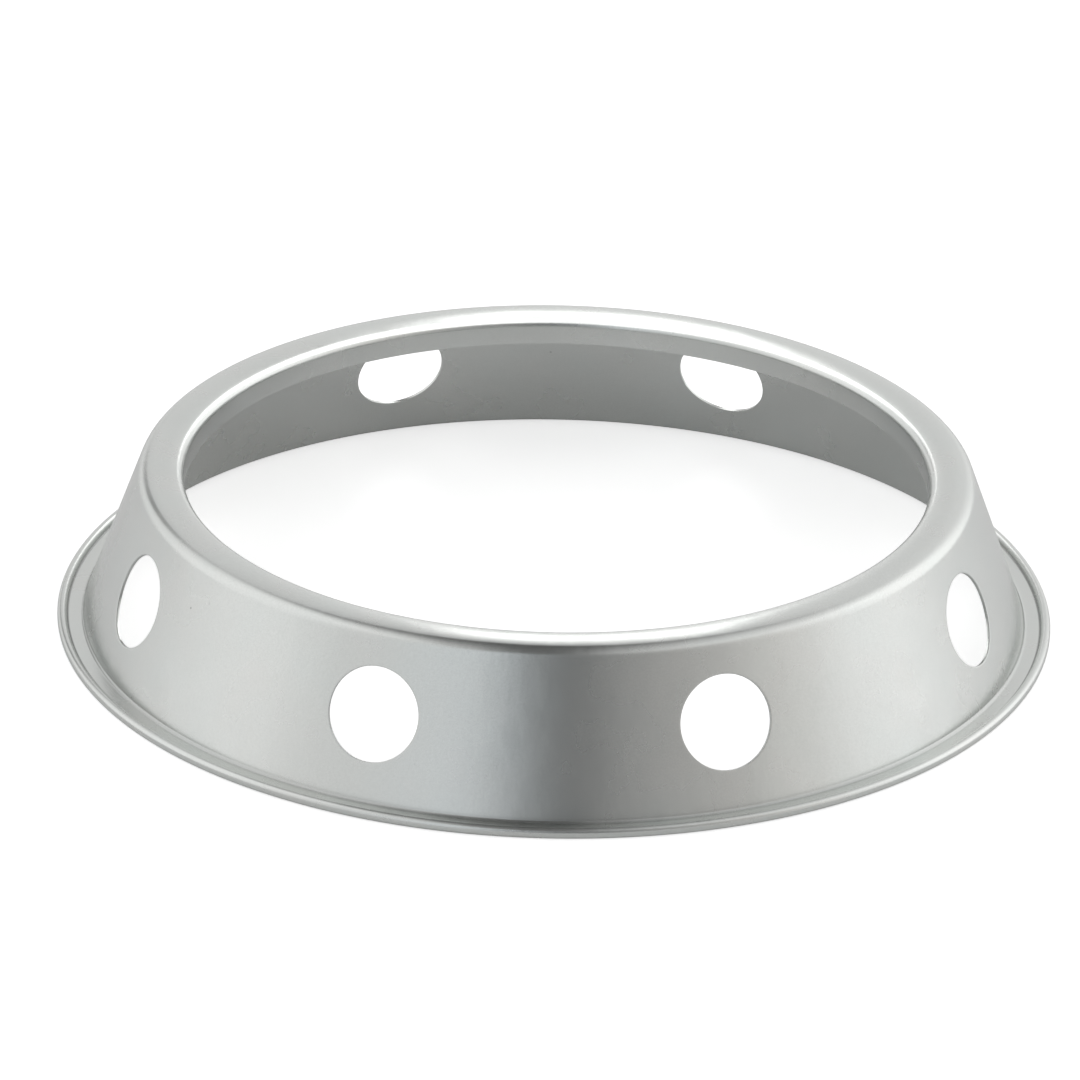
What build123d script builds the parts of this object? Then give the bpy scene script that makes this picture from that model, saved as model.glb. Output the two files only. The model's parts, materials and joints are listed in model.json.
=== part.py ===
from build123d import *
from build123d.topology import SkipClean
import os
from math import acos, atan2, cos, degrees, radians, sin, sqrt

# Wok ring: one disc of sheet steel, drawn into a low cone with a turned-down lip at
# the top, a flat flange at the foot and a rolled outer edge, then punched with holes.
# Millimetres, +Z up, the ring's axis on Z, the underside of the rolled edge on Z = 0.

# Overall form
outer_diameter = 260.0     # across the rolled edge
height = 42.6              # table to the top of the crown
sheet = 0.8                # thickness of the steel
wall_angle = 69.9          # conical wall above the horizontal, in degrees
flange_width = 6.8         # foot of the wall to the outside of the rolled edge
land_width = 11.5          # top land, from the lip's face to the wall, before the bends
camber = 0.8               # rise of the crown in the middle of the land
lip_depth = 7.6            # top of the crown to the lip's raw edge

# Bend radii on the outside skin
lip_bend = 2.5
shoulder_bend = 3.7
foot_bend = 1.0            # a hollow bend

# Rolled edge
roll_width = 2.5           # across the roll
roll_side = 0.4            # straight side between the roll's upper and lower rounds
roll_bend = 0.5            # hollow bend where the flange climbs into the roll
roll_gap = 0.2             # air between the tucked raw edge and the flange
flange_lift = 0.6          # table to the underside of the flange

# Vent holes, punched square to the wall
hole_count = 8
hole_diameter = 24.2
hole_rise = 0.7            # hole centres above the wall's middle level
first_hole_angle = 22.5    # anticlockwise from +X, in degrees

# Section points are Vector(radius, level). The corners are where the skins would meet
# without their bends.
flange_top = flange_lift + sheet
land_level = height - camber
wall_normal = Vector(sin(radians(wall_angle)), cos(radians(wall_angle)))
up_wall = Vector(-wall_normal.Y, wall_normal.X)
foot_corner = Vector(outer_diameter / 2 - flange_width, flange_top)
shoulder_corner = foot_corner + up_wall * ((land_level - flange_top) / up_wall.Y)
lip_face = shoulder_corner.X - land_width


def bearing(start, end):
    """Direction from one section point to another, anticlockwise from outward, in degrees."""
    return degrees(atan2(end.Y - start.Y, end.X - start.X))


def top_bends():
    """Lip, crown and shoulder: three round bends, each running smoothly into the next."""
    crown_radius = ((land_width / 2) ** 2 + camber**2) / (2 * camber)
    crown = Vector(lip_face + land_width / 2, height - crown_radius)
    lip_in = crown.X - (lip_face + lip_bend)
    lip = Vector(crown.X - lip_in, crown.Y + sqrt((crown_radius - lip_bend) ** 2 - lip_in**2))
    out = (foot_corner - crown).dot(wall_normal) - shoulder_bend
    along = sqrt((crown_radius - shoulder_bend) ** 2 - out**2)
    shoulder = crown + wall_normal * out + up_wall * along
    lip_end, crown_end = bearing(crown, lip), bearing(crown, shoulder)
    return [(lip, lip_bend, 180, lip_end),
            (crown, crown_radius, lip_end, crown_end),
            (shoulder, shoulder_bend, crown_end, 90 - wall_angle)]


def foot_bends():
    """The hollow bend from the wall into the flange."""
    level = flange_top + foot_bend
    beside_wall = foot_corner + wall_normal * foot_bend
    centre = beside_wall + up_wall * ((level - beside_wall.Y) / up_wall.Y)
    return [(centre, -foot_bend, 270 - wall_angle, 270)]


def roll_bends():
    """The rolled edge: up off the flange, over, down and back in under the flange."""
    roll_radius = roll_width / 2
    lower = Vector(outer_diameter / 2 - roll_radius, roll_radius)
    upper = lower + Vector(0, roll_side)
    level = flange_top + roll_bend
    reach = sqrt((roll_radius + roll_bend) ** 2 - (level - upper.Y) ** 2)
    climb = Vector(upper.X - reach, level)
    rise = bearing(climb, upper)
    # the raw edge stops where it is still one gap clear of the sheet above it
    clear_of_climb = roll_bend + sheet + roll_gap
    span = (climb - lower).length
    turn = acos((span**2 + roll_radius**2 - clear_of_climb**2) / (2 * span * roll_radius))
    tuck = bearing(lower, climb) + degrees(turn) - 360
    return [(climb, -roll_bend, 270, 360 + rise),
            (upper, roll_radius, 180 + rise, 0),
            (lower, roll_radius, 0, tuck)]


def skin(bends, depth):
    """One skin of the sheet at a depth below the outside one, with its first and last point."""
    points = [Vector(lip_face + depth, height - lip_depth)]
    edges = []
    for centre, radius, first, last in bends:
        arc = CenterArc(centre, abs(radius - depth), first, last - first)
        if (arc @ 0 - points[-1]).length > 1e-6:
            edges.append(Line(points[-1], arc @ 0))
        edges.append(arc)
        points.append(arc @ 1)
    return edges, points[0], points[-1]


def ring_section():
    """The sheet in section, closed at its two raw edges, in the plane of X and Z."""
    bends = top_bends() + foot_bends() + roll_bends()
    outside, lip_out, tuck_out = skin(bends, 0)
    inside, lip_in, tuck_in = skin(bends, sheet)
    raw_edges = [Line(lip_out, lip_in), Line(tuck_out, tuck_in)]
    return Plane.XZ * make_face([*outside, *inside, *raw_edges])


def punches():
    """One punch for each vent hole, set square to the wall at the hole's centre."""
    level = (flange_top + land_level) / 2 + hole_rise
    centre = foot_corner + up_wall * ((level - flange_top) / up_wall.Y)
    square = Plane(origin=(centre.X, 0, centre.Y), z_dir=(wall_normal.X, 0, wall_normal.Y))
    punch = square * Cylinder(hole_diameter / 2, hole_diameter / 2)
    pitch = 360 / hole_count
    return [punch.rotate(Axis.Z, first_hole_angle + pitch * index) for index in range(hole_count)]


def wok_ring():
    """The whole ring, one solid: its section turned about the axis, then punched.

    It is turned in quarters that keep their flush joint lines, so that its faces come
    out alike all the way round and its centre of mass stays on the axis.
    """
    quarter = revolve(ring_section(), Axis.Z, 90)
    with SkipClean():
        ring = Part() + [quarter.rotate(Axis.Z, turn) for turn in (0, 90, 180, 270)]
        return ring - punches()


os.makedirs("parts", exist_ok=True)
export_step(wok_ring(), "parts/wok_ring.step")
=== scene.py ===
# %% [markdown]
# # A pressed steel wok ring
#
# The object is one piece of sheet steel: a low cone that stands on a rolled edge, with
# a rounded land at the top, a turned-down lip and eight round vent holes. The packed
# CAD model is loaded first, because every size below starts from it.

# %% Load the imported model
import json
from math import acos, atan2, ceil, cos, hypot, pi, radians, sin, sqrt

import bpy
from mathutils import Matrix, Vector


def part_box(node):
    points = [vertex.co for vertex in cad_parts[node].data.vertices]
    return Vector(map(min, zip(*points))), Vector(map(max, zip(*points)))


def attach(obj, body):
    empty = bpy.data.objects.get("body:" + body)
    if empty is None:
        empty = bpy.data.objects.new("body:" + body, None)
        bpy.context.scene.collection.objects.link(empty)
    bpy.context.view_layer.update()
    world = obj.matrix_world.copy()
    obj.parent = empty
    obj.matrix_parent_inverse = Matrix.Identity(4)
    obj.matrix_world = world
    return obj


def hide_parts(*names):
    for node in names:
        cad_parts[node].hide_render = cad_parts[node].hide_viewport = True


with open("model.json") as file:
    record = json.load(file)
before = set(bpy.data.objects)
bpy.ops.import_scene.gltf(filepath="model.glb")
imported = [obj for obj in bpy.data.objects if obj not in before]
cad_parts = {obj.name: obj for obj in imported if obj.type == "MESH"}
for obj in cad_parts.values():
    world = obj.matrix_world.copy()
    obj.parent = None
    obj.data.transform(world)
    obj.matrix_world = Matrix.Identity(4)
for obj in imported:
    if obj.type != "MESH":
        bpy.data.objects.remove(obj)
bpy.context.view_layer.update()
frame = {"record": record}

MM = 0.001

# %% [markdown]
# ## Sizes
#
# A press shop draws such a ring from one round blank, so a single section, turned about
# the axis, holds nearly every size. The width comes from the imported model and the
# opening comes from the record's seat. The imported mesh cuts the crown's round a little
# low, so the height is written out. The rest are the press tool's own sizes.

# %% Sizes of the ring
low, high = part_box("wok_ring")
outer_radius = (high.x - low.x) / 2
height = 42.6 * MM
seat = next(mount for mount in frame["record"]["mounts"] if mount["name"] == "seat")
lip_face = seat["dims"]["r_mm"] * MM

sheet = 0.8 * MM
wall_angle = radians(69.9)
flange_width = 6.8 * MM
flange_lift = 0.6 * MM      # table to the flange's underside
camber = 0.8 * MM           # rise of the crown over the land
lip_depth = 7.6 * MM

lip_bend = 2.5 * MM
shoulder_bend = 3.7 * MM
foot_bend = 1.0 * MM

roll_width = 2.5 * MM
roll_side = 0.4 * MM        # straight side between the roll's two rounds
roll_bend = 0.5 * MM        # hollow bend where the flange climbs into the roll
roll_gap = 0.2 * MM         # air over the tucked raw edge
print(round(2 * outer_radius / MM, 1), "mm across,", round(height / MM, 1), "mm high")

# %% [markdown]
# ## Corners of the section
#
# A drawing of pressed sheet is set out from the corners that the outside skin would
# have without its bends, since the bends can then change without moving the walls. A
# section point here is a radius and a level.

# %% Corners of the section
flange_top = flange_lift + sheet
land_level = height - camber
wall_normal = Vector((sin(wall_angle), cos(wall_angle)))
up_wall = Vector((-wall_normal.y, wall_normal.x))
foot_corner = Vector((outer_radius - flange_width, flange_top))
shoulder_corner = foot_corner + up_wall * ((land_level - flange_top) / up_wall.y)
land_width = shoulder_corner.x - lip_face
print("opening", round(2 * lip_face / MM, 1), "mm, land", round(land_width / MM, 2), "mm")


# %% [markdown]
# ## The bends
#
# Sheet keeps its thickness when it is bent, so the two skins share their centres. A
# bend is written once, as a centre, the outside skin's radius and the turn from its
# first to its last bearing. A negative radius marks a bend that is hollow on the
# outside. Turning a true section, instead of bevelling a rough cone, keeps the lip,
# crown and shoulder flowing into each other as they do on the pressed part.

# %% Bends of the land
def bearing(start, end):
    """Direction from one section point to another."""
    return atan2(end.y - start.y, end.x - start.x)


def top_bends():
    """Lip, crown and shoulder, each running smoothly into the next."""
    crown_radius = ((land_width / 2) ** 2 + camber ** 2) / (2 * camber)
    crown = Vector((lip_face + land_width / 2, height - crown_radius))
    lip_in = crown.x - (lip_face + lip_bend)
    lip = Vector((crown.x - lip_in, crown.y + sqrt((crown_radius - lip_bend) ** 2 - lip_in ** 2)))
    out = (foot_corner - crown).dot(wall_normal) - shoulder_bend
    along = sqrt((crown_radius - shoulder_bend) ** 2 - out ** 2)
    shoulder = crown + wall_normal * out + up_wall * along
    lip_end = bearing(crown, lip)
    crown_end = bearing(crown, shoulder)
    return [(lip, lip_bend, pi, lip_end),
            (crown, crown_radius, lip_end, crown_end),
            (shoulder, shoulder_bend, crown_end, pi / 2 - wall_angle)]


print("crown radius", round(top_bends()[1][1] / MM, 1), "mm")


# %% [markdown]
# ## The foot and the rolled edge
#
# The foot turns out into a flange, and the flange's edge is curled under on itself. The
# roll gives the ring its stiffness and hides the sharp raw edge. Its last bend stops
# where the tucked edge is still one small gap clear of the sheet above it.

# %% Bends of the foot and the rolled edge
def foot_bends():
    """The hollow bend from the wall into the flange."""
    beside_wall = foot_corner + wall_normal * foot_bend
    rise = flange_top + foot_bend - beside_wall.y
    centre = beside_wall + up_wall * (rise / up_wall.y)
    return [(centre, -foot_bend, 1.5 * pi - wall_angle, 1.5 * pi)]


def roll_bends():
    """Up off the flange, over, down and back in under the flange."""
    roll_radius = roll_width / 2
    lower = Vector((outer_radius - roll_radius, roll_radius))
    upper = lower + Vector((0, roll_side))
    level = flange_top + roll_bend
    reach = sqrt((roll_radius + roll_bend) ** 2 - (level - upper.y) ** 2)
    climb = Vector((upper.x - reach, level))
    rise = bearing(climb, upper)
    clear_of_climb = roll_bend + sheet + roll_gap
    span = (climb - lower).length
    turn = acos((span ** 2 + roll_radius ** 2 - clear_of_climb ** 2) / (2 * span * roll_radius))
    tuck = bearing(lower, climb) + turn - 2 * pi
    return [(climb, -roll_bend, 1.5 * pi, 2 * pi + rise),
            (upper, roll_radius, pi + rise, 0),
            (lower, roll_radius, 0, tuck)]


print(len(top_bends() + foot_bends() + roll_bends()), "bends from lip to tuck")

# %% [markdown]
# ## The section as a row of points
#
# Each bend becomes short steps, finer on the outside skin, which catches the light,
# than on the hidden one. A flat that meets a tight bend gets one more row close to it.
# Smooth shading would otherwise tilt the light across the whole flat.

# %% Steps along a skin
outside_step = radians(8)
inside_step = radians(16)
longest_step = 3 * MM       # on the wide crown, whose turn is small
beside_bend = 0.25 * MM     # from a bend to the extra row beside it
shortest_flat = 3 * beside_bend
touching = 1e-8             # metres


def bend_points(bend, depth, step):
    """Points along a bend, at a depth below the outside skin."""
    centre, radius, first, last = bend
    turn = last - first
    far = abs(radius - depth)
    steps = ceil(max(abs(turn) / step, abs(turn) * far / longest_step))
    bearings = [first + turn * i / steps for i in range(steps + 1)]
    return [centre + far * Vector((cos(b), sin(b))) for b in bearings]


def flat_points(start, end):
    """The extra rows of a flat between two bends."""
    along = end - start
    if along.length < shortest_flat:
        return []
    inset = along.normalized() * beside_bend
    return [start + inset, end - inset]


def skin_points(bends, depth, step):
    """Points from the first bend to the last, with the flats between them."""
    points = []
    for bend in bends:
        curve = bend_points(bend, depth, step)
        if points:
            meets = (points[-1] - curve[0]).length < touching
            points += [] if meets else flat_points(points[-1], curve[0])
            curve = curve[1:] if meets else curve
        points += curve
    return points


print(len(skin_points(top_bends(), 0, outside_step)), "points over the land's outside skin")

# %% [markdown]
# ## Raw edges
#
# The blank is sheared, and the plating rounds the corner that the shear leaves. The
# lip's raw edge shows as a thin line of light inside the opening, so its two corners
# get a small round instead of a knife edge. A bevel modifier could cut it later, but
# in the section it is only a few more points.

# %% A rounded raw edge
edge_break = 0.12 * MM
quarter_turns = [radians(turn) for turn in (0, 30, 60, 90)]


def raw_edge(corner, normal, beyond):
    """Section points round the sheet's end, from the outside skin to the inside one.

    The corner is where the outside skin would end. The normal points out of that skin
    and beyond points out of the end.
    """
    points = [(edge_break * (1 - cos(turn)), edge_break * (1 - sin(turn))) for turn in quarter_turns]
    points += [(sheet - depth, back) for depth, back in reversed(points)]
    return [corner - normal * depth - beyond * back for depth, back in points]


lip_corner = Vector((lip_face, height - lip_depth))
lip_end = raw_edge(lip_corner, Vector((-1, 0)), Vector((0, -1)))
print("raw edges have", len(lip_end), "points, broken by", round(edge_break / MM, 2), "mm")

# %% [markdown]
# ## Rows for the vent holes
#
# A hole in a turned surface needs its own patch of faces: a square of the turned grid
# is left open, and rings of faces run from its border to the round hole. The wall
# therefore gets evenly spaced rows round the holes' level, as far apart as the columns
# are, so that each patch starts from a square grid. Cutting the holes with a boolean
# would leave long thin faces that spoil the reflections beside each hole.

# %% The grid round the ring
hole_count = 8
hole_radius = 12.1 * MM
hole_rise = 0.7 * MM        # above the wall's middle level
first_hole = radians(22.5)

columns_per_hole = 48
columns = hole_count * columns_per_hole
patch_half = 8              # columns, and rows, from a hole's centre to its patch's border

hole_level = (flange_top + land_level) / 2 + hole_rise
hole_centre = foot_corner + up_wall * ((hole_level - flange_top) / up_wall.y)
row_pitch = 2 * pi * hole_centre.x / columns
print(columns, "columns round the ring,", round(row_pitch / MM, 2), "mm apart at the holes")


def patch_rows(depth):
    """Section points of the patch rows, from the top one down."""
    top = patch_half * row_pitch
    rows = range(2 * patch_half + 1)
    return [hole_centre - wall_normal * depth + up_wall * (top - row * row_pitch) for row in rows]


def whole_skin(depth, step):
    """One skin from lip to tuck, and the place of its first patch row."""
    upper = skin_points(top_bends(), depth, step)
    lower = skin_points(foot_bends() + roll_bends(), depth, step)
    middle = patch_rows(depth)
    upper.append(flat_points(upper[-1], middle[0])[0])
    lower.insert(0, flat_points(middle[-1], lower[0])[-1])
    return upper + middle + lower, len(upper)


# %% [markdown]
# ## The closed section
#
# The outside skin, the tucked raw edge, the inside skin and the lip's raw edge follow
# each other in one closed row. One more row stands close above the lip's raw edge, on
# each skin, and holds its small round tight.

# %% The closed section
outside, outside_patch = whole_skin(0, outside_step)
inside, inside_patch = whole_skin(sheet, inside_step)

support_rise = 4 * edge_break
lip_support = [lip_corner + Vector((0, support_rise))]
lip_support_in = [lip_support[0] + Vector((sheet, 0))]

tuck_normal = (outside[-1] - inside[-1]).normalized()
tuck_beyond = Vector((tuck_normal.y, -tuck_normal.x))
tuck_end = raw_edge(outside[-1], tuck_normal, tuck_beyond)

section = lip_support + outside[:-1] + tuck_end + inside[-2::-1] + lip_support_in + lip_end[::-1]
outside_first = len(lip_support) + outside_patch
inside_last = len(lip_support) + len(outside) - 1 + len(tuck_end) + len(inside) - 2 - inside_patch
inside_first = inside_last - 2 * patch_half
print(len(section), "rows in the section")

# %% [markdown]
# ## A vent hole
#
# Each hole is punched square to the wall, so its rim is the meeting of a straight
# cylinder and a cone. A point of the rim is found by sliding along the punch until it
# lies on the skin. The punch also draws the outside edge in a little before it shears,
# which gives every hole its soft bright rim, and leaves a crisp edge inside.

# %% Points on the wall
slides = 8                  # steps of sliding, each many times closer than the last


def turned(point, angle):
    """A section point turned to its place round the axis."""
    return Vector((point.x * cos(angle), point.x * sin(angle), point.y))


def wall_point(angle, along, depth):
    """A point of the wall, by its bearing and its distance up from the holes' level."""
    return turned(hole_centre + up_wall * along - wall_normal * depth, angle)


def wall_place(point):
    """Bearing and distance up the wall of a point that lies on it."""
    place = Vector((hypot(point.x, point.y), point.z)) - hole_centre
    return atan2(point.y, point.x), place.dot(up_wall)


def punch_point(middle, side, radius, depth):
    """A point of the wall met by the punch, a side's angle round its own axis."""
    outward = turned(wall_normal, middle)
    upward = turned(up_wall, middle)
    across = Vector((-sin(middle), cos(middle), 0))
    point = turned(hole_centre, middle)
    point += radius * (cos(side) * across + sin(side) * upward)
    for _ in range(slides):
        place = Vector((hypot(point.x, point.y), point.z)) - hole_centre
        point -= (place.dot(wall_normal) + depth) * outward
    return point, outward


hole_top, _ = punch_point(first_hole, pi / 2, hole_radius, 0)
print("holes reach", round(hole_top.z / MM, 1), "mm up")

# %% [markdown]
# ## Rings of faces round a hole
#
# On each skin, rings of points pass from the patch's square border to the round rim.
# They crowd towards the hole, where the light changes fastest. Then a few rings turn
# the rim into the punched wall, with a wide round outside and a crisp one inside.

# %% The rings on one skin
patch_rings = 6
patch_points = 4 * 2 * patch_half
ring_draw_in = 1.6          # above 1 it crowds the rings towards the hole
near = 0.35 * MM            # the extra ring beside a rim


def patch_border():
    """Column and row steps from the hole's centre, once round the patch."""
    n = patch_half
    right = [(n, i) for i in range(n)]
    top = [(n - i, n) for i in range(2 * n)]
    left = [(-n, n - i) for i in range(2 * n)]
    bottom = [(-n + i, -n) for i in range(2 * n)]
    return right + top + left + bottom + [(n, -n + i) for i in range(n)]


def flat_rings(middle, rim_radius, depth):
    """Rings on one skin between the patch's border and the hole's rim."""
    rings = []
    column_turn = 2 * pi / columns
    for ring in range(1, patch_rings):
        share = 1 - (1 - ring / patch_rings) ** ring_draw_in
        points = []
        for i, (column, row) in enumerate(patch_border()):
            rim, _ = punch_point(middle, 2 * pi * i / patch_points, rim_radius + near, depth)
            bearing_in, along_in = wall_place(rim)
            bearing_out = middle + column * column_turn
            along_out = row * row_pitch
            around = (bearing_in - bearing_out + pi) % (2 * pi) - pi
            points.append(wall_point(bearing_out + share * around,
                                     along_out + share * (along_in - along_out), depth))
        rings.append(points)
    return rings


print(patch_points, "points in each ring")

# %% The rings of one hole
rim_draw = 0.15 * MM        # radius of the drawn-in rim
rim_break = 0.06 * MM       # radius of the crisp inside edge


def rim_rings(middle, depth, rim, inward):
    """Rings round one rim, where the skin turns into the punched wall."""
    places = [(hole_radius + rim + near, 0)]
    places += [(hole_radius + rim * (1 - sin(turn)), rim * (1 - cos(turn))) for turn in quarter_turns]
    rings = []
    for radius, sunk in places:
        points = []
        for i in range(patch_points):
            point, outward = punch_point(middle, 2 * pi * i / patch_points, radius, depth)
            points.append(point - outward * sunk * inward)
        rings.append(points)
    return rings


def hole_rings(middle):
    """Every ring of one hole, from the outside patch through it to the inside one."""
    outer = flat_rings(middle, hole_radius + rim_draw, 0) + rim_rings(middle, 0, rim_draw, 1)
    inner = flat_rings(middle, hole_radius + rim_break, sheet)
    inner += rim_rings(middle, sheet, rim_break, -1)
    return outer + inner[::-1]


print(len(hole_rings(first_hole)), "rings through each hole")


# %% [markdown]
# ## The ring's mesh
#
# The section is turned about the axis as one closed skin, and the hole patches are
# sewn in. One watertight mesh, with no faces inside the steel, is what a 3-D printer or
# a game engine needs too.

# %% Faces of the turned grid
def in_patch(row, column):
    """Whether a face of the turned grid lies inside a hole's patch."""
    offset = (column - columns_per_hole // 2) % columns_per_hole
    beside = offset < patch_half or offset >= columns_per_hole - patch_half
    firsts = (outside_first, inside_first)
    return beside and any(first <= row < first + 2 * patch_half for first in firsts)


def grid_faces():
    """The faces of the turned section, without those of the patches."""
    faces = []
    for row in range(len(section)):
        below = (row + 1) % len(section)
        for column in range(columns):
            beside = (column + 1) % columns
            if not in_patch(row, column):
                faces.append((row * columns + column, below * columns + column,
                              below * columns + beside, row * columns + beside))
    return faces


print(len(grid_faces()), "faces in the turned grid")


# %% [markdown]
# ## Sewing in the holes
#
# A strip of four-sided faces joins each ring of points to the next, from the grid's
# outside skin through the hole to its inside skin. The last strip joins the grid again,
# so no edge stays open.

# %% Faces of a hole
def border_indices(hole, first, upwards):
    """The turned grid's points round one patch, in the order of patch_border."""
    middle = hole * columns_per_hole + columns_per_hole // 2
    indices = []
    for column, row in patch_border():
        line = first + patch_half - row * upwards
        indices.append(line * columns + (middle + column) % columns)
    return indices


def strip(outer, inner):
    """Faces between two rings of the same number of points."""
    following = list(range(1, len(outer))) + [0]
    return [(outer[i], outer[j], inner[j], inner[i]) for i, j in enumerate(following)]


def sew_in(hole, points, faces):
    """Adds one hole's rings of points, and the faces between them."""
    middle = first_hole + 2 * pi * hole / hole_count
    previous = border_indices(hole, outside_first, 1)
    for ring in hole_rings(middle):
        current = list(range(len(points), len(points) + patch_points))
        points += ring
        faces += strip(previous, current)
        previous = current
    faces += strip(previous, border_indices(hole, inside_first, -1))


print(len(border_indices(0, outside_first, 1)), "faces in each strip")


# %% Build the mesh
def without_spares(points, faces):
    """The same points and faces, without the points that no face uses."""
    used = sorted({index for face in faces for index in face})
    new_index = {old: new for new, old in enumerate(used)}
    return [points[old] for old in used], [[new_index[index] for index in face] for face in faces]


def ring_mesh(name):
    """The whole ring in one mesh."""
    points = [turned(p, 2 * pi * c / columns) for p in section for c in range(columns)]
    faces = grid_faces()
    for hole in range(hole_count):
        sew_in(hole, points, faces)
    points, faces = without_spares(points, faces)
    mesh = bpy.data.meshes.new(name)
    mesh.from_pydata(points, [], faces)
    mesh.validate()
    mesh.shade_smooth()
    return mesh


def link(name, data):
    """Puts an object with this data into the scene."""
    piece = bpy.data.objects.new(name, data)
    bpy.context.scene.collection.objects.link(piece)
    return piece


ring = link("pressed_ring", ring_mesh("pressed_ring"))
print(len(ring.data.vertices), "points and", len(ring.data.polygons), "faces in the ring")


# %% [markdown]
# ## A material's tools
#
# A material is a tree of nodes, and its links carry values from one socket to the next.
# A few small helpers write the steps that every tree here repeats: arithmetic, taking a
# value to another range, mixing two colours, and noise. The ring and the studio could
# each be wired by hand, but named steps are easier to read and to change.

# %% A material's tools
def new_material(name):
    """An empty material and its tree of nodes."""
    material = bpy.data.materials.new(name)
    material.use_nodes = True
    material.node_tree.nodes.clear()
    return material, material.node_tree


def add(tree, kind, label, **settings):
    """Adds one node, and sets its properties by name."""
    node = tree.nodes.new(kind)
    node.label = label
    for key, value in settings.items():
        setattr(node, key, value)
    return node


def give(tree, socket, value):
    """Gives an input a link from another socket, or a plain value."""
    if isinstance(value, bpy.types.NodeSocket):
        tree.links.new(value, socket)
    else:
        socket.default_value = value


def feed(tree, node, **values):
    """Sets a node's inputs by name, with an underscore for each space in the name."""
    for name, value in values.items():
        give(tree, node.inputs[name.replace("_", " ")], value)


def calculate(tree, label, operation, *values):
    """One step of arithmetic on sockets or numbers."""
    node = add(tree, "ShaderNodeMath", label, operation=operation)
    for socket, value in zip(node.inputs, values):
        give(tree, socket, value)
    return node.outputs["Value"]


def stretched(tree, label, place, factors):
    """A place with its three parts multiplied."""
    node = add(tree, "ShaderNodeVectorMath", label, operation="MULTIPLY")
    for socket, value in zip(node.inputs, (place, factors)):
        give(tree, socket, value)
    return node.outputs["Vector"]


# %% Ranges, mixes and noise
def ranged(tree, label, value, before, after=(0, 1), kind="LINEAR"):
    """A value taken from one range to another."""
    node = add(tree, "ShaderNodeMapRange", label, interpolation_type=kind)
    feed(tree, node, Value=value, From_Min=before[0], From_Max=before[1],
         To_Min=after[0], To_Max=after[1])
    return node.outputs["Result"]


def mixed(tree, label, share, first, second, kind="MIX"):
    """Two colours mixed, or multiplied."""
    node = add(tree, "ShaderNodeMix", label, data_type="RGBA", blend_type=kind)
    feed(tree, node, Factor=share, A=first, B=second)
    return node.outputs["Result"]


def noise(tree, label, place, across, detail=2):
    """Soft random patches of about the size given."""
    texture = add(tree, "ShaderNodeTexNoise", label)
    feed(tree, texture, Vector=place, Scale=1 / across, Detail=detail)
    return texture.outputs["Fac"]


# %% [markdown]
# ## Zinc plating
#
# The ring is bright zinc plated: a thin, slightly green-grey metal that spreads lights
# into soft bands. A metallic surface with middling roughness gives those bands. The
# plating bath leaves faint clouds, so one slow noise shifts both the tint and the
# roughness. A photograph of plating could be wrapped on instead, but noise in the
# ring's own space has no seam.

# %% Clouds in the plating
plating_color = (0.66, 0.69, 0.675, 1)
warm_color = (0.70, 0.70, 0.68, 1)
plating_roughness = (0.245, 0.295)
cloud_across = 20 * MM
cloud_detail = 4


def clouded(tree, place):
    """The plating's tint and its roughness."""
    clouds = noise(tree, "clouds in the plating", place, cloud_across, cloud_detail)
    tint = mixed(tree, "tint", clouds, plating_color, warm_color)
    return tint, ranged(tree, "satin", clouds, (0, 1), plating_roughness)


print("plating roughness from", plating_roughness[0], "to", plating_roughness[1])

# %% [markdown]
# ## Specks and grain
#
# A few dark specks of dust or tiny pits lie scattered on the plating, and the rolled
# sheet's grain shows through it. Both are too small to have a shape that can be seen,
# so they only multiply the colour. A Voronoi texture gives one speck in each of its
# cells, and a fine noise gives the grain.

# %% Specks and grain
speck_spacing = 16 * MM
speck_radius = 0.2 * MM
speck_shade = 0.6
grain_across = 0.45 * MM
grain_spread = (0.3, 0.7)   # where most of the noise lies
grain_shades = (0.97, 1.03)


def speckled(tree, place, color):
    """A colour with scattered dark specks."""
    cells = add(tree, "ShaderNodeTexVoronoi", "specks")
    feed(tree, cells, Vector=place, Scale=1 / speck_spacing)
    edge = (speck_radius / speck_spacing, 2 * speck_radius / speck_spacing)
    clear = ranged(tree, "clear of specks", cells.outputs["Distance"], edge, (speck_shade, 1),
                   "SMOOTHSTEP")
    return mixed(tree, "spotted", 1, color, clear, "MULTIPLY")


def grained(tree, place, color):
    """A colour with the sheet's fine grain."""
    fine = noise(tree, "grain", place, grain_across)
    shade = ranged(tree, "grain shade", fine, grain_spread, grain_shades)
    return mixed(tree, "grained", 1, color, shade, "MULTIPLY")


print("a speck about every", round(speck_spacing / MM), "mm")

# %% [markdown]
# ## Painted crease shade
#
# Painted shade: a dark line is painted along the wall's foot and another beside the
# roll, standing in for the shade in the two tight hollow bends. They could be painted on an
# unwrapped skin. The ring is round, though, so each line is simply a distance from the
# axis, and a mask by that distance stays sharp at any size.

# %% Painted crease shade
# Each painted crease shade is a distance from the axis and the share of the light that it keeps.
roll_crease = roll_bends()[0][0].x + roll_bend / 2
painted_crease_shades = ((foot_corner.x, 0.72), (roll_crease, 0.4))
painted_shade_reach = 0.45 * MM


def crease_shaded(tree, place, color):
    """A colour with a painted line of shade along each crease."""
    level = stretched(tree, "without the height", place, (1, 1, 0))
    radius = add(tree, "ShaderNodeVectorMath", "from the axis", operation="LENGTH")
    feed(tree, radius, Vector=level)
    for where, kept in painted_crease_shades:
        past = calculate(tree, "past the crease", "SUBTRACT", radius.outputs["Value"], where)
        away = calculate(tree, "away from the crease", "ABSOLUTE", past)
        # The mask is painted shade: darkest on the crease, gone at the reach.
        mask = ranged(tree, "crease", away, (0, painted_shade_reach), (kept, 1), "SMOOTHSTEP")
        color = mixed(tree, "crease_shaded", 1, color, mask, "MULTIPLY")
    return color


print("creases at", [round(where / MM, 1) for where, _ in painted_crease_shades], "mm from the axis")

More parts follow.
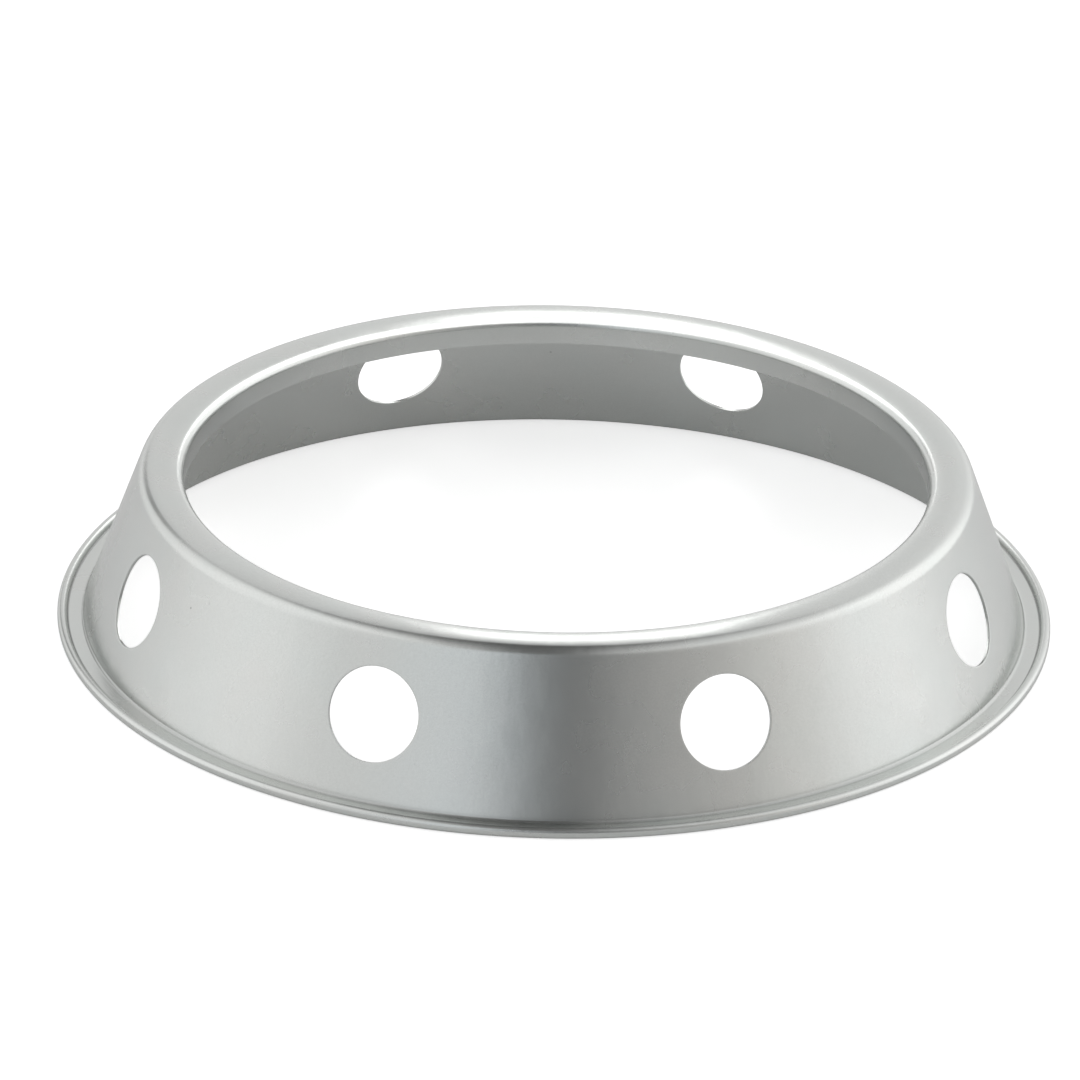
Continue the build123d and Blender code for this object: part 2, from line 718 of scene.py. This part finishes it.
# %% [markdown]
# ## Unevenness
#
# Pressed sheet is never quite true. It waves slowly, ripples a little, and the press
# drags faint marks up the wall. They are too low to see as a shape, but the metal bends
# its reflections over them. A bump shows them at no cost, where a finer mesh would need
# many more points.

# %% Unevenness of the pressing
# Each is a size across and a height.
pressing_waves = (30 * MM, 0.3 * MM)
pressing_ripple = (9 * MM, 0.03 * MM)
drawing_marks = (4 * MM, 0.03 * MM)
marks_stretch = (1, 1, 0.07)    # draws the marks out along the height


def uneven(tree, place):
    """The normal of a surface with waves, ripple and drawing marks."""
    drawn = stretched(tree, "drawn up the wall", place, marks_stretch)
    total = 0
    for label, where, (across, rise) in (("waves", place, pressing_waves),
                                         ("ripple", place, pressing_ripple),
                                         ("marks", drawn, drawing_marks)):
        rough = noise(tree, label, where, across)
        total = calculate(tree, label + " height", "MULTIPLY_ADD", rough, rise, total)
    bump = add(tree, "ShaderNodeBump", "unevenness")
    feed(tree, bump, Distance=1, Height=total)
    return bump.outputs["Normal"]


print("waves", round(pressing_waves[0] / MM), "mm across")


# %% [markdown]
# ## The ring's material
#
# The finishes above and the painted crease shade come together in one metallic
# surface. The ring then takes the place of the imported model's plain solid, and stands
# still, because nothing moves.

# %% Dress the ring
def plated_steel():
    """The ring's material, from all the finishes and the painted crease shade above."""
    material, tree = new_material("plated_steel")
    output = add(tree, "ShaderNodeOutputMaterial", "output")
    metal = add(tree, "ShaderNodeBsdfPrincipled", "zinc plating")
    place = add(tree, "ShaderNodeTexCoord", "place on the ring").outputs["Object"]
    tint, satin = clouded(tree, place)
    # The last step paints the crease shade into the colour.
    color = crease_shaded(tree, place, grained(tree, place, speckled(tree, place, tint)))
    feed(tree, metal, Metallic=1, Base_Color=color, Roughness=satin, Normal=uneven(tree, place))
    feed(tree, output, Surface=metal.outputs["BSDF"])
    return material


ring.data.materials.append(plated_steel())
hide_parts("wok_ring")
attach(ring, "root")
print(len(ring.data.materials[0].node_tree.nodes), "nodes in the plated steel")

# %% [markdown]
# ## The floor
#
# The ring stands on a plain sheet of pale paper. The paper has a little light of its
# own, which only the eye and mirrors see. That makes it white with no more lamps on the
# ring, and it still takes the ring's soft shadow.

# %% The floor
floor_half = 12.0           # metres
floor_color = (0.75, 0.75, 0.75, 1)
floor_roughness = 0.35
floor_sheen = 1.0
floor_lift = 0.09           # light of its own that the eye and the metal see
floor_bleach = 0.57         # more of it for the camera, which makes the paper white


def seen_rays(tree):
    """A one for rays that see the floor directly, by mirror or by glass, and for the camera's."""
    path = add(tree, "ShaderNodeLightPath", "kind of ray").outputs
    mirror = calculate(tree, "camera or mirror", "MAXIMUM", path["Is Camera Ray"],
                       path["Is Glossy Ray"])
    glass = calculate(tree, "or glass", "MAXIMUM", mirror, path["Is Transmission Ray"])
    return glass, path["Is Camera Ray"]


def pale_floor():
    """Pale paper with a little light of its own."""
    material, tree = new_material("pale_floor")
    output = add(tree, "ShaderNodeOutputMaterial", "output")
    paper = add(tree, "ShaderNodeBsdfPrincipled", "matt paper")
    to_all, to_camera = seen_rays(tree)
    bleach = calculate(tree, "bleach", "MULTIPLY", to_camera, floor_bleach)
    lift = calculate(tree, "lift", "MULTIPLY_ADD", to_all, floor_lift, bleach)
    feed(tree, paper, Base_Color=floor_color, Roughness=floor_roughness,
         Specular_IOR_Level=floor_sheen, Emission_Color=(1, 1, 1, 1), Emission_Strength=lift)
    feed(tree, output, Surface=paper.outputs["BSDF"])
    return material


floor_mesh = bpy.data.meshes.new("floor")
corners = [(-floor_half, -floor_half, 0), (floor_half, -floor_half, 0),
           (floor_half, floor_half, 0), (-floor_half, floor_half, 0)]
floor_mesh.from_pydata(corners, [], [(0, 1, 2, 3)])
floor = link("floor", floor_mesh)
floor.data.materials.append(pale_floor())
print("floor", round(2 * floor_half), "m wide")

# %% [markdown]
# ## The studio
#
# Bright metal has no colour of its own to show, so what surrounds it makes the picture.
# The studio has pale walls with a dim gap behind the camera, which draws the dark band
# down the middle of the wall, and a ceiling that is dark in the middle and pale to both
# sides. Real lamps and screens could stand round the ring instead, but a world of
# smooth shades is quicker to render and easy to adjust.

# %% Shades of the studio
# Each stop of the walls is a bearing in degrees from straight in front, the right side
# positive. Each stop of the ceiling is a sideways lean, from -1 at the left to 1. Then
# come the brightness there, and how much bluer than grey it is.
wall_stops = ((-180, 0.80, 0), (-140, 0.90, 0), (-105, 1.1, 0), (-78, 1.06, 0),
              (-52, 0.80, 0), (-18, 0.84, 0.035), (-7, 0.38, 0.05), (0, 0.14, 0.02),
              (7, 0.12, 0), (14, 0.31, 0), (40, 0.50, -0.02), (62, 0.80, -0.02),
              (82, 1.15, 0), (104, 1.4, 0), (130, 1.35, 0), (158, 0.95, 0), (180, 0.80, 0))
ceiling_stops = ((-1, 1.05, 0), (-0.55, 1.05, 0), (-0.4, 0.85, 0), (-0.3, 0.55, 0),
                 (-0.2, 0.25, 0), (-0.12, 0.12, 0), (-0.04, 0.02, 0), (0.05, 0.02, 0),
                 (0.12, 0.3, 0), (0.2, 0.5, 0), (0.3, 0.65, 0), (0.4, 0.8, 0),
                 (0.7, 1.0, 0), (1, 1.2, 0))


def brightness_ramp(tree, label, share, stops):
    """The colour at a share of the way from the first stop to the last."""
    ramp = add(tree, "ShaderNodeValToRGB", label)
    colors = ramp.color_ramp
    colors.interpolation = "EASE"
    lowest, highest = stops[0][0], stops[-1][0]
    while len(colors.elements) < len(stops):
        colors.elements.new(1)
    for element, (place, brightness, blue) in zip(colors.elements, stops):
        element.position = (place - lowest) / (highest - lowest)
        element.color = (brightness * (1 - blue), brightness, brightness * (1 + blue), 1)
    feed(tree, ramp, Fac=share)
    return ramp.outputs["Color"]


print(len(wall_stops), "stops round the walls and", len(ceiling_stops), "over the ceiling")

# %% [markdown]
# ## Walls that run into a ceiling
#
# A direction's bearing picks its shade from the walls, and its sideways lean picks it
# from the ceiling. The two pass softly into each other, as in a studio whose walls
# curve over, because a hard join would show as a line in the metal.

# %% Walls and ceiling
ceiling_from = radians(38)
ceiling_full = radians(54)


def studio_color(tree, direction):
    """The studio's colour in a direction."""
    parts = add(tree, "ShaderNodeSeparateXYZ", "parts")
    feed(tree, parts, Vector=direction)
    sideways, depth, up = parts.outputs
    forward = calculate(tree, "towards the front", "MULTIPLY", depth, -1)
    turn = calculate(tree, "bearing", "ARCTAN2", sideways, forward)
    round_share = ranged(tree, "bearing as a share", turn, (-pi, pi))
    lean_share = ranged(tree, "lean as a share", sideways, (-1, 1))
    rise = ranged(tree, "from walls to ceiling", up, (sin(ceiling_from), sin(ceiling_full)),
                  kind="SMOOTHSTEP")
    return mixed(tree, "studio", rise, brightness_ramp(tree, "walls", round_share, wall_stops),
                 brightness_ramp(tree, "ceiling", lean_share, ceiling_stops))


print("the ceiling starts", round(ceiling_from / radians(1)), "degrees up")

# %% [markdown]
# ## A dim screen
#
# A small soft screen hangs behind the ring, to its left. Its only work is to draw the
# dark line that the shoulder shows on the left, so it is a round patch of the world,
# dimmer towards its middle.

# %% The screen and the world
screen_bearing, screen_height = radians(-154), radians(26)
screen_direction = (sin(screen_bearing) * cos(screen_height),
                    -cos(screen_bearing) * cos(screen_height), sin(screen_height))
screen_core, screen_edge = radians(2), radians(13)
screen_brightness = 0.2


def screened(tree, direction):
    """The light that the dim screen leaves in a direction."""
    facing = add(tree, "ShaderNodeVectorMath", "towards the screen", operation="DOT_PRODUCT")
    for socket, value in zip(facing.inputs, (direction, screen_direction)):
        give(tree, socket, value)
    return ranged(tree, "screen", facing.outputs["Value"], (cos(screen_edge), cos(screen_core)),
                  (1, screen_brightness), "SMOOTHSTEP")


world = bpy.data.worlds.new("studio")
world.use_nodes = True
studio = world.node_tree
studio.nodes.clear()
view = add(studio, "ShaderNodeTexCoord", "direction").outputs["Generated"]
background = add(studio, "ShaderNodeBackground", "studio")
feed(studio, background, Color=studio_color(studio, view), Strength=screened(studio, view))
feed(studio, add(studio, "ShaderNodeOutputWorld", "output"),
     Surface=background.outputs["Background"])
bpy.context.scene.world = world
print(len(studio.nodes), "nodes in the studio")

# %% [markdown]
# ## The light panel
#
# A long soft panel hangs over the back half of the ring. It draws the white band on the
# far land and the bright line on the near one. It is a lamp rather than a part of the
# world, because it hangs so close that the two lands see it in different directions.

# %% The light panel over the back
panel_front = Vector((0.01, -0.005, 0.115))
panel_back = Vector((0.01, 0.38, 0.196))
panel_width = 0.08
panel_radiance = 1.4


def soft_panel(name, front, back, width, radiance):
    """A soft panel between the middles of two of its edges, shining downwards."""
    data = bpy.data.lights.new(name, "AREA")
    data.shape = "RECTANGLE"
    along = back - front
    data.size = width
    data.size_y = along.length
    data.energy = radiance * pi * width * along.length
    panel = link(name, data)
    across = Vector((1, 0, 0))
    up = across.cross(along.normalized())
    panel.matrix_world = Matrix((across, along.normalized(), up)).transposed().to_4x4()
    panel.location = (front + back) / 2
    panel.visible_camera = False
    panel.visible_diffuse = False
    return panel


panel = soft_panel("panel_over_the_back", panel_front, panel_back, panel_width, panel_radiance)
print("panel", round(panel.data.size_y / MM), "mm long,", round(panel.data.energy, 3), "W")

# %% [markdown]
# ## The camera
#
# The photograph was taken with a long lens from about two metres away, a little above
# the ring, so the circles show as flat ellipses with hardly any perspective. The place,
# the lens and the small roll were found by matching the ring's own circles.

# %% The camera
camera_distance = 2.197
camera_elevation = radians(25.512)
camera_bearing = radians(0.297)     # past straight in front, towards the right
camera_roll = radians(1.098)
camera_lens = 279.28                # millimetres, as is the sensor's width
camera_sensor = 36
aim = Vector((-4.01, 0, 21.49)) * MM

camera_data = bpy.data.cameras.new("camera")
camera_data.sensor_width = camera_sensor
camera_data.lens = camera_lens
camera = link("camera", camera_data)
level_distance = camera_distance * cos(camera_elevation)
camera.location = (level_distance * sin(camera_bearing),
                   -level_distance * cos(camera_bearing),
                   camera_distance * sin(camera_elevation))
towards = (aim - camera.location).to_track_quat("-Z", "Y")
camera.rotation_euler = (towards.to_matrix() @ Matrix.Rotation(camera_roll, 3, "Z")).to_euler()
bpy.context.scene.camera = camera
print("camera at", [round(side, 3) for side in camera.location], "m")

# %% [markdown]
# ## The picture
#
# The Standard view keeps the paper white and the metal's greys as they are lit.

# %% The picture's own settings
bpy.context.scene.view_settings.view_transform = "Standard"
print("view:", bpy.context.scene.view_settings.view_transform)

# %% Finish
print("finished")
